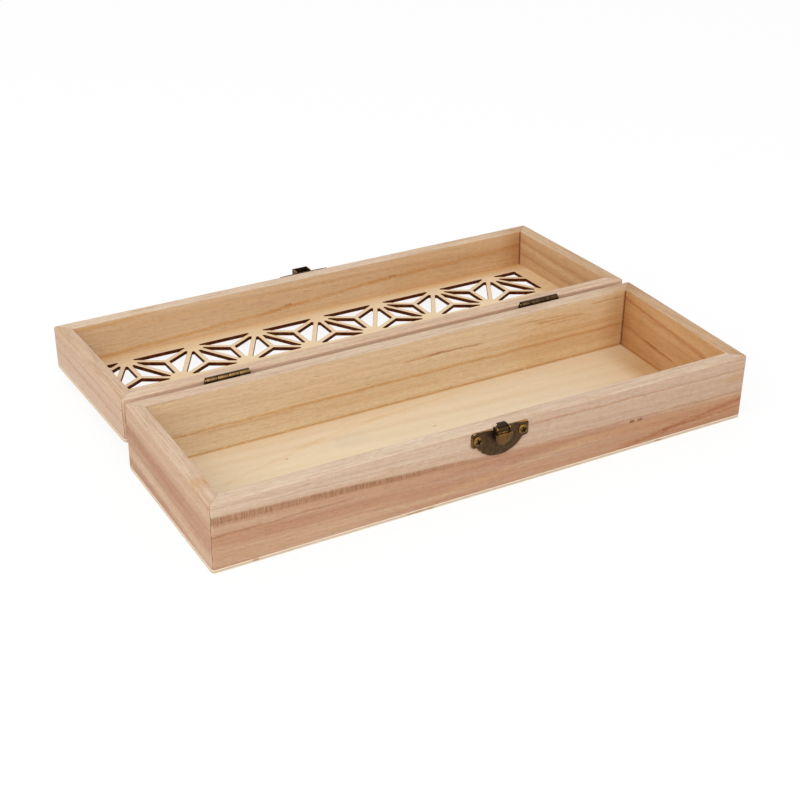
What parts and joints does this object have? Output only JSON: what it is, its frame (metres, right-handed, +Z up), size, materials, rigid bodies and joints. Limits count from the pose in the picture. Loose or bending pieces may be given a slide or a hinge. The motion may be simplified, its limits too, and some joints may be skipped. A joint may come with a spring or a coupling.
{
  "type": "box",
  "caption": "Long shallow wooden box with mitred walls, a hinged lid whose panel is cut as a hemp-leaf lattice, butt hinges and a press latch on the front",
  "frame": {"origin": "centre of the base's underside", "axes": "+X along the box's length, to the right seen from the catch; +Y from the catch to the hinges; +Z up"},
  "size_m": [0.3, 0.2193, 0.0391],
  "materials": {
    "frame_wood": "bare, fine sanded",
    "plywood": "bare plywood with laser-cut edges",
    "aged_bronze": "dark aged bronze, worn bright on edges",
    "screw_brass": "dull golden brass"
  },
  "bodies": {
    "base": {"base_floor": "plywood", "base_front_wall": "frame_wood", "base_back_wall": "frame_wood", "base_left_wall": "frame_wood", "base_right_wall": "frame_wood", "hinge_left_base_leaf": "aged_bronze", "hinge_left_pin": "aged_bronze", "hinge_left_base_screw_1": "screw_brass", "hinge_left_base_screw_2": "screw_brass", "hinge_right_base_leaf": "aged_bronze", "hinge_right_pin": "aged_bronze", "hinge_right_base_screw_1": "screw_brass", "hinge_right_base_screw_2": "screw_brass", "catch_plate": "aged_bronze", "catch_pin": "aged_bronze", "catch_screw_1": "screw_brass", "catch_screw_2": "screw_brass"},
    "lid": {"lid_panel": "plywood", "lid_front_wall": "frame_wood", "lid_back_wall": "frame_wood", "lid_left_wall": "frame_wood", "lid_right_wall": "frame_wood", "hinge_left_lid_leaf": "aged_bronze", "hinge_left_lid_screw_1": "screw_brass", "hinge_left_lid_screw_2": "screw_brass", "hinge_right_lid_leaf": "aged_bronze", "hinge_right_lid_screw_1": "screw_brass", "hinge_right_lid_screw_2": "screw_brass", "keeper_plate": "aged_bronze", "keeper_screw_1": "screw_brass", "keeper_screw_2": "screw_brass"},
    "rocker": {"catch_rocker": "aged_bronze"}
  },
  "joints": [
    {"name": "lid_hinge", "type": "hinge", "parent": "base", "child": "lid", "pos_m": [0, 0.05345, 0.0361], "axis": [1, 0, 0], "range_deg": [0, 182.9]},
    {"name": "catch_press", "type": "hinge", "parent": "base", "child": "rocker", "pos_m": [-0.001, -0.0536, 0.0353], "axis": [1, 0, 0], "range_deg": [0, 13], "stiffness_Nm_per_rad": 0.02, "springref_deg": -9.74}
  ]
}
